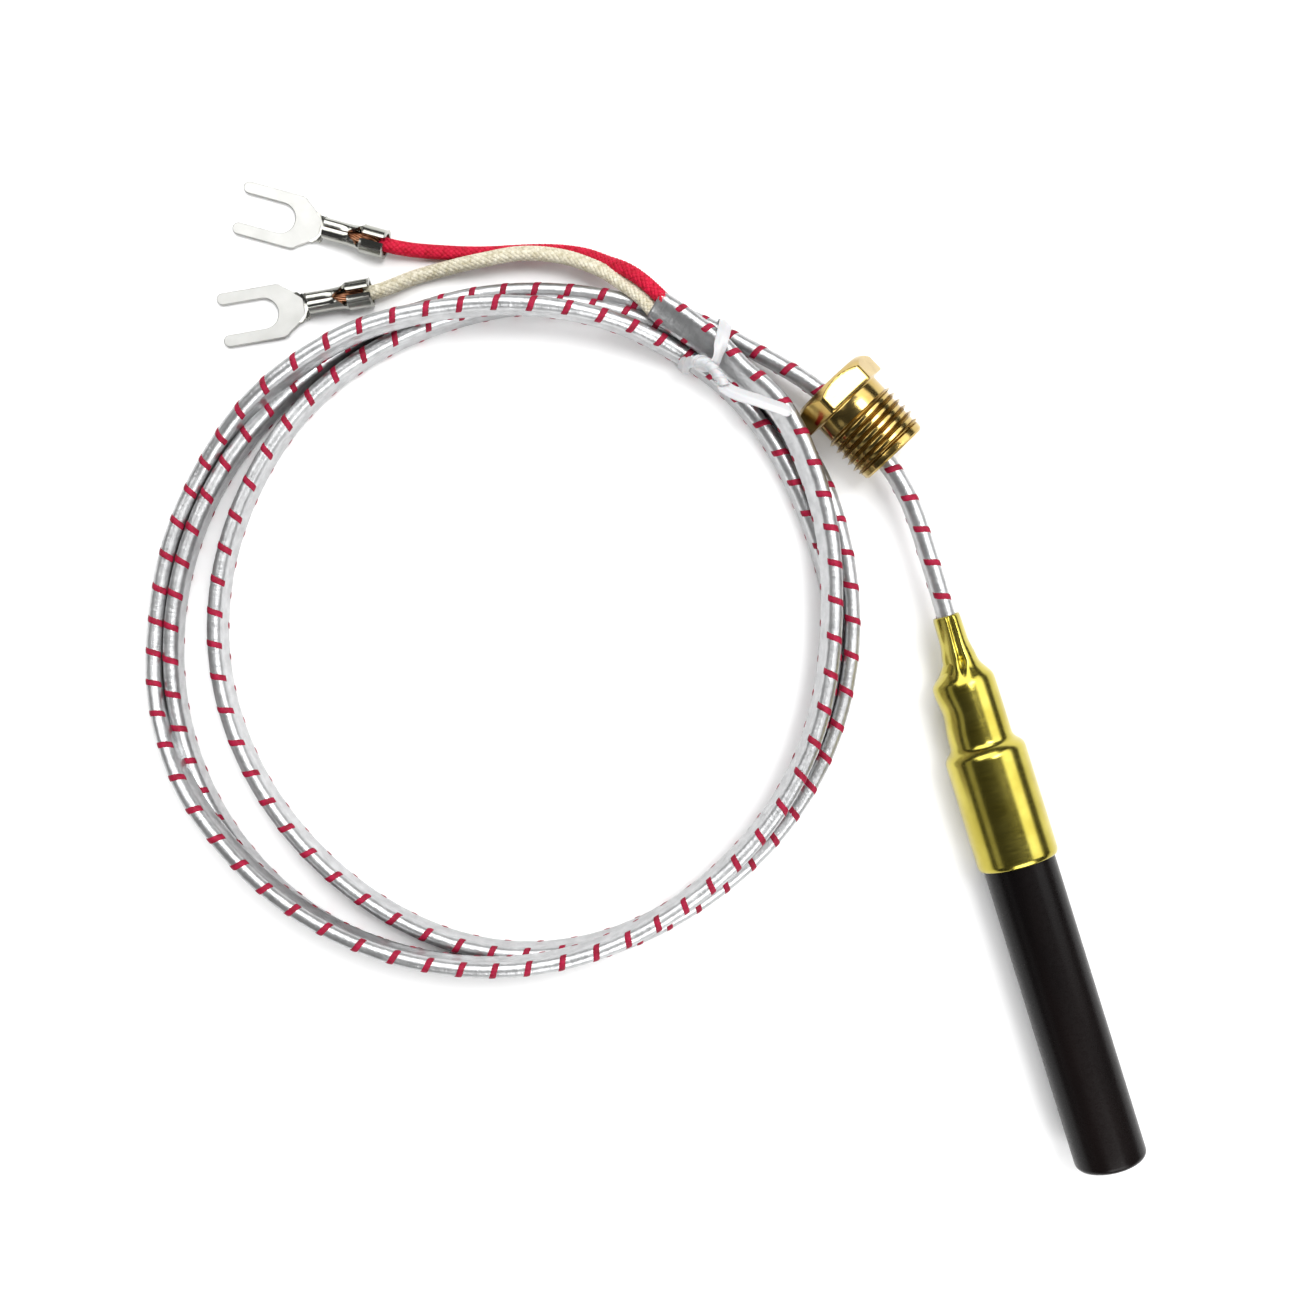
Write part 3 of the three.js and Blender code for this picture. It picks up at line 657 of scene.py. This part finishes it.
def strand_bundle():
    """The bare copper strands, which spread a little where they come out of the insulation."""
    vertices, faces = [], []
    x = np.linspace(0.0008, 0.0099, 70)
    loose = 1 + 0.5 * np.clip((0.0042 - x) / 0.0008, 0, 1)
    for ring, (count, radius) in enumerate(STRAND_RINGS):
        for strand in range(count):
            turn = TAU * strand / count + x * 420 + ring
            y, z = radius * loose * np.cos(turn), STRANDS_Z + radius * loose * np.sin(turn)
            block = [
                np.stack([x, y + STRAND_R * math.cos(a), z + STRAND_R * math.sin(a)], axis=1)
                for a in TAU * np.arange(8) / 8]
            faces += grid_faces(len(x), len(block), len(vertices) * len(x) * len(block))
            vertices.append(np.stack(block, axis=1).reshape(-1, 3))
    return np.concatenate(vertices), faces


def make_terminal(colour, tin, matt_tin, copper):
    """One terminal, bright where it is rolled and matt on the fork, and the strands in its barrel."""
    place, degrees = TERMINAL_PLACES[colour]
    rolled, faces = rolled_sheet()
    plate, sides, levels = fork_plate()
    plate_faces = grid_faces(levels, sides, len(rolled))
    matt = np.repeat(np.array([0, 1], dtype=np.int32), [len(faces), len(plate_faces)])
    faces += plate_faces
    terminal = mesh_piece(
        colour + "_terminal", in_place(np.concatenate([rolled, plate]), place, degrees), faces,
        [tin, matt_tin], face_slots=matt)
    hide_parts(colour + "_fork_terminal")
    sharpen(terminal, 20)

    points, faces = strand_bundle()
    strands = mesh_piece(colour + "_strands", in_place(points, place, degrees), faces, copper)
    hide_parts(colour + "_conductor")
    return terminal, strands


# ---- Twist tie ----
TIE_WIDE = 0.0021
TIE_EDGE = 0.000102              # half the thickness of its flat edges
TIE_STEP = 0.0002
ROPE_TURNS = 2.6
ROPE_R = 0.0005
# Middle line of the band: up the coil's outer side, over the top and down to the knot on the inner side.
TIE_BAND = [
    (-0.0157, 0.0766, 0.0004), (-0.0157, 0.0765, 0.0028), (-0.0157, 0.0761, 0.0058),
    (-0.0160, 0.0753, 0.0084), (-0.0167, 0.0741, 0.0096), (-0.0176, 0.0726, 0.0101),
    (-0.0186, 0.0709, 0.0100), (-0.0197, 0.0698, 0.0095), (-0.0213, 0.0698, 0.0088),
    (-0.0225, 0.0708, 0.0081), (-0.0229, 0.0719, 0.0066), (-0.0235, 0.0720, 0.0040),
    (-0.0238, 0.0716, 0.0004),
]
# Where the two ends are twisted together, from the coil's inner side.
TIE_ROPE = [
    (-0.0231, 0.0712, 0.0085), (-0.0222, 0.0711, 0.0094), (-0.0210, 0.0705, 0.0098),
    (-0.0201, 0.0693, 0.0100), (-0.0196, 0.0678, 0.0102), (-0.0190, 0.0661, 0.0104),
]
TIE_TAIL = [
    (-0.0197, 0.0668, 0.0103), (-0.0190, 0.0656, 0.0105), (-0.0180, 0.0645, 0.0107),
    (-0.0166, 0.0634, 0.0108), (-0.0152, 0.0625, 0.0108), (-0.0136, 0.0613, 0.0108),
    (-0.0119, 0.0601, 0.0107), (-0.0107, 0.0590, 0.0105),
]


def ribbon(points, flat):
    """A flat plastic band with a round wire core, along points: its vertices, its rings and the sides of
    a ring. flat holds the direction of its width at each point."""
    points, flat = np.asarray(points, float), np.asarray(flat, float)
    rough = along(points)
    fine = np.linspace(0, rough[-1], int(rough[-1] / TIE_STEP))
    line, across = spline(rough, points, fine), spline(rough, flat, fine)
    tangent = unit(np.gradient(line, fine, axis=0))
    across = unit(across - (across * tangent).sum(axis=1, keepdims=True) * tangent)
    up = np.cross(across, tangent)
    half = [(-1, 0.3), (-0.94, 1), (-0.62, 1.1), (-0.36, 2.1), (-0.16, 2.75), (0, 2.9),
            (0.16, 2.75), (0.36, 2.1), (0.62, 1.1), (0.94, 1), (1, 0.3)]
    section = half + [(w, -h) for w, h in half[::-1]]
    from_end = np.minimum(fine, fine[-1] - fine)
    taper = np.sqrt(np.clip(1 - (1 - np.clip(from_end / (TIE_WIDE / 2), 0, 1)) ** 2, 0.02, 1))
    rings = np.stack([
        line + across * (w * TIE_WIDE / 2 * taper)[:, None] + up * (h * TIE_EDGE)
        for w, h in section], axis=1)
    return rings.reshape(-1, 3), len(fine), len(section)


def twisted(line, turns, phase):
    """Width directions that turn about a line."""
    line = np.asarray(line, float)
    tangent = unit(np.gradient(line, along(line), axis=0))
    side = unit(np.cross(tangent, (0, 0, 1)))
    up = np.cross(side, tangent)
    angle = np.linspace(0, 1, len(line)) * TAU * turns + phase
    return side * np.cos(angle)[:, None] + up * np.sin(angle)[:, None]


def make_tie(material):
    """The band, two ends twisted together at the knot, and the tail laid over the lead."""
    blocks, faces, start = [], [], 0
    lead_way = unit(np.array([-0.0090, 0.0110, 0.0]))
    band_flat = np.tile(lead_way, (len(TIE_BAND), 1))
    at_knot = slice(6, 11)
    band_flat[at_knot] = unit(band_flat[at_knot] + np.array([0, 0, 1.2]))
    spirals = []
    rope = Path(TIE_ROPE, [0] * len(TIE_ROPE), TIE_STEP)
    s = np.linspace(0, rope.length, 64)
    for strand in range(2):
        angle = TAU * ROPE_TURNS * s / rope.length + math.pi * strand
        points = rope.place(s, ROPE_R * np.sin(angle), ROPE_R * np.cos(angle))
        _, up, side = rope.at(s)
        flat = up * np.cos(angle)[:, None] - side * np.sin(angle)[:, None]
        spirals.append((points, flat))
    tail_flat = twisted(TIE_TAIL, 0.05, 0.1)
    for points, flat in [(TIE_BAND, band_flat), *spirals, (TIE_TAIL, tail_flat)]:
        vertices, rings, sides = ribbon(points, flat)
        faces += grid_faces(rings, sides, start)
        blocks.append(vertices)
        start += len(vertices)
    tie = mesh_piece("tie", np.concatenate(blocks), faces, material)
    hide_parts("twist_tie")
    return tie


# ---- Materials ----
class Nodes:
    """A material, with short ways to add the nodes that drive its shader. Inputs that hold a constant are
    given by name, with _ for a space."""

    def __init__(self, name, **inputs):
        self.material = bpy.data.materials.new(name)
        self.material.use_nodes = True
        self.tree = self.material.node_tree
        self.shader = self.tree.nodes["Principled BSDF"]
        for key, value in inputs.items():
            self.shader.inputs[key.replace("_", " ")].default_value = value

    def add(self, kind, **settings):
        """A new node with its settings."""
        node = self.tree.nodes.new("ShaderNode" + kind)
        for key, value in settings.items():
            setattr(node, key, value)
        return node

    def link(self, source, target):
        self.tree.links.new(source, target)

    def place(self, scale=(1, 1, 1)):
        """Object coordinates, scaled."""
        where, mapping = self.add("TexCoord"), self.add("Mapping")
        mapping.inputs["Scale"].default_value = scale
        self.link(where.outputs["Object"], mapping.inputs["Vector"])
        return mapping.outputs["Vector"]

    def noise(self, where, scale, detail=3.0):
        """Values 0 to 1 that change from place to place."""
        node = self.add("TexNoise")
        self.link(where, node.inputs["Vector"])
        node.inputs["Scale"].default_value = scale
        node.inputs["Detail"].default_value = detail
        return node.outputs["Fac"]

    def colour(self, source, dark, light, margin=0.3):
        """Base colour from dark to light, with a margin of plain colour at each end of the source."""
        node = self.add("ValToRGB")
        for element, place, shade in zip(node.color_ramp.elements, (margin, 1 - margin), (dark, light)):
            element.position = place
            element.color = (*shade, 1)
        self.link(source, node.inputs["Fac"])
        self.link(node.outputs["Color"], self.shader.inputs["Base Color"])

    def roughness(self, source, low, high):
        """Roughness from low to high."""
        node = self.add("MapRange")
        self.link(source, node.inputs["Value"])
        node.inputs["To Min"].default_value = low
        node.inputs["To Max"].default_value = high
        self.link(node.outputs["Result"], self.shader.inputs["Roughness"])

    def bump(self, source, distance, strength):
        """A bump, on top of the ones already there."""
        node = self.add("Bump")
        node.inputs["Distance"].default_value = distance
        node.inputs["Strength"].default_value = strength
        self.link(source, node.inputs["Height"])
        previous = self.shader.inputs["Normal"]
        if previous.is_linked:
            self.link(previous.links[0].from_socket, node.inputs["Normal"])
        self.link(node.outputs["Normal"], previous)


def foil_material():
    """Aluminium foil, dulled and finely creased across by winding. It follows the attribute "wrap"."""
    made = Nodes("foil_wrap", Metallic=0.95)
    where = made.add("Attribute", attribute_name="wrap").outputs["Vector"]
    mapping = made.add("Mapping")
    mapping.inputs["Scale"].default_value = (3400, 500, 500)
    made.link(where, mapping.inputs["Vector"])
    across = made.noise(mapping.outputs["Vector"], 1)
    made.colour(made.noise(where, 600), (0.42, 0.425, 0.43), (0.55, 0.555, 0.56))
    made.roughness(across, 0.30, 0.48)
    made.bump(made.noise(where, 1600), 0.00008, 0.7)
    made.bump(across, 0.00004, 0.7)
    return made.material


def brass_material(name, dark, light, roughness):
    """Turned brass, with fine marks across the frame's Y."""
    made = Nodes(name, Metallic=1.0)
    made.colour(made.noise(made.place(), 240, 2), dark, light, margin=0.35)
    marks = made.noise(made.place((400, 6000, 400)), 1)
    made.roughness(marks, roughness * 0.7, roughness * 1.4)
    made.bump(marks, 0.00002, 0.25)
    return made.material


def steel_material():
    """Heat-blackened steel with a satin sheen."""
    made = Nodes("black_steel", Specular_IOR_Level=0.13)
    where = made.place()
    stains = made.noise(made.place((60, 14, 60)), 2.0, 4)
    made.colour(stains, (0.0026, 0.0020, 0.0021), (0.0068, 0.0046, 0.0044))
    made.roughness(made.noise(where, 1500), 0.22, 0.34)
    made.bump(made.noise(where, 4500, 4), 0.00002, 0.35)
    return made.material


def tin_material(name, dark, light, smooth, rough):
    """Tin plate, with its least and greatest roughness."""
    made = Nodes(name, Metallic=1.0)
    where = made.place()
    made.colour(made.noise(where, 320, 2), dark, light)
    made.roughness(made.noise(where, 1700), smooth, rough)
    made.bump(made.noise(where, 2600), 0.00002, 0.3)
    return made.material


def copper_material():
    """Bare stranded copper, a little tarnished."""
    made = Nodes("copper", Metallic=1.0, Roughness=0.32)
    made.colour(made.noise(made.place(), 900), (0.46, 0.19, 0.09), (0.62, 0.33, 0.20))
    return made.material


def yarn_material(name, dark, light):
    """Glass-fibre yarn, uneven in colour and rough with fine fibres."""
    made = Nodes(name, Roughness=0.62, Specular_IOR_Level=0.25)
    where = made.place()
    made.colour(made.noise(where, 1400), dark, light)
    made.bump(made.noise(where, 9000, 2), 0.00004, 0.5)
    return made.material


def plain_material(name, dark, light, roughness, scale, depth):
    """A dull surface with a little change of tone and a fine grain."""
    made = Nodes(name, Roughness=roughness)
    where = made.place()
    made.colour(made.noise(where, scale), dark, light)
    made.bump(made.noise(where, scale * 5), depth, 0.4)
    return made.material


def tie_material():
    """White plastic that lets a little light in."""
    made = Nodes(
        "tie_white", Base_Color=(0.50, 0.50, 0.51, 1), Subsurface_Weight=0.15, Subsurface_Scale=0.0004)
    where = made.place()
    made.roughness(made.noise(where, 1200), 0.3, 0.46)
    made.bump(made.noise(where, 1800), 0.00004, 0.4)
    return made.material


def inner_materials():
    """Finishes of the pieces sealed in the probe, one for each of the record's slots."""
    alloy = Nodes("thermo_alloy", Metallic=1.0, Roughness=0.4)
    alloy.colour(alloy.noise(alloy.place(), 1500), (0.28, 0.26, 0.23), (0.42, 0.40, 0.36))
    return {
        "ceramic": plain_material("ceramic", (0.80, 0.77, 0.70), (0.90, 0.88, 0.82), 0.6, 1200, 0.00003),
        "mica": plain_material("mica", (0.42, 0.36, 0.24), (0.58, 0.52, 0.38), 0.45, 900, 0.00004),
        "thermo_alloy": alloy.material,
    }


def finish_inner_nodes(copper):
    """Gives every CAD node that isn't replaced the finish of its slot."""
    finishes = inner_materials() | {"copper": copper}
    for row in frame["record"]["subparts"]:
        if row["material_slot"] in finishes:
            mesh = frame["nodes"][row["node"]].data
            mesh.materials.clear()
            mesh.materials.append(finishes[row["material_slot"]])


# ---- Build ----
make_camera()
foil = foil_material()
thread = yarn_material("red_thread", (0.18, 0.001, 0.014), (0.34, 0.004, 0.038))
lead = lead_path()
jacket = make_jacket(lead, foil)
tracer = make_tracer(lead, thread)
red_yarn = yarn_material("red_braid", (0.36, 0.001, 0.014), (0.58, 0.006, 0.042))
cream_yarn = yarn_material("cream_braid", (0.44, 0.395, 0.27), (0.70, 0.665, 0.55))
dark_core = plain_material("wire_core", (0.20, 0.12, 0.09), (0.30, 0.2, 0.15), 0.7, 900, 0.00002)
tin = tin_material("tinned", (0.35, 0.35, 0.315), (0.40, 0.40, 0.37), 0.14, 0.26)
matt_tin = tin_material("tinned_matt", (0.385, 0.385, 0.37), (0.44, 0.44, 0.425), 0.34, 0.44)
copper = copper_material()
ends = [*make_terminal("red", tin, matt_tin, copper), *make_terminal("cream", tin, matt_tin, copper)]
make_braid("red_sleeve", RED_ROUTE, "red_wire", red_yarn, dark_core)
make_braid("cream_sleeve", CREAM_ROUTE, "cream_wire", cream_yarn, dark_core)
tie = make_tie(tie_material())
make_tube(steel_material())
make_ferrule(brass_material("ferrule_brass", (0.40, 0.335, 0.055), (0.49, 0.42, 0.085), 0.21))
make_adapter(
    brass_material("adapter_brass", (0.40, 0.275, 0.08), (0.49, 0.36, 0.125), 0.19),
    # Darker brass for the thread's flanks: painted shade between the ridges.
    brass_material("adapter_brass_flanks_painted_shade", (0.22, 0.13, 0.03), (0.30, 0.19, 0.045), 0.28))
finish_inner_nodes(copper)


# ---- Floor and light ----
def make_floor():
    """A wide white floor under the object."""
    size = 4.0
    material = Nodes("floor", Roughness=0.7, Base_Color=(0.94, 0.94, 0.94, 1)).material
    mesh = bpy.data.meshes.new("floor")
    corners = [(-size, -size, 0), (size, -size, 0), (size, size, 0), (-size, size, 0)]
    mesh.from_pydata(corners, [], [(0, 1, 2, 3)])
    mesh.materials.append(material)
    floor = bpy.data.objects.new("floor", mesh)
    bpy.context.scene.collection.objects.link(floor)


def area_light(name, place, target, size, power):
    """A rectangular light that points at a target."""
    light = bpy.data.lights.new(name, "AREA")
    light.shape = "RECTANGLE"
    light.size, light.size_y = size
    light.energy = power
    lamp = bpy.data.objects.new(name, light)
    bpy.context.scene.collection.objects.link(lamp)
    lamp.location = place
    lamp.rotation_euler = (Vector(target) - Vector(place)).to_track_quat("-Z", "Y").to_euler()


def make_light():
    """Two broad lights from north and south, two smaller ones from the east, a weak one from the west and
    a faint sky."""
    world = bpy.data.worlds.new("studio")
    bpy.context.scene.world = world
    world.use_nodes = True
    sky = world.node_tree.nodes["Background"].inputs
    sky["Color"].default_value = (1, 1, 1, 1)
    sky["Strength"].default_value = 0.05
    bpy.context.scene.view_settings.view_transform = "Standard"
    middle = (-0.04, 0.03, 0)
    area_light("east", (0.53, 0.09, 0.53), (0.003, 0.03, 0), (0.66, 0.46), 2.5)
    area_light("north_east", (0.245, 0.18, 0.75), (0.0, 0.055, 0), (0.20, 0.34), 3.0)
    area_light("west", (-0.72, 0.05, 0.34), middle, (0.8, 0.22), 0.3)
    area_light("north", (-0.10, 0.62, 0.72), middle, (1.0, 0.71), 8.0)
    area_light("south", (0.05, -0.72, 0.62), middle, (0.8, 0.66), 8.0)


make_floor()
make_light()
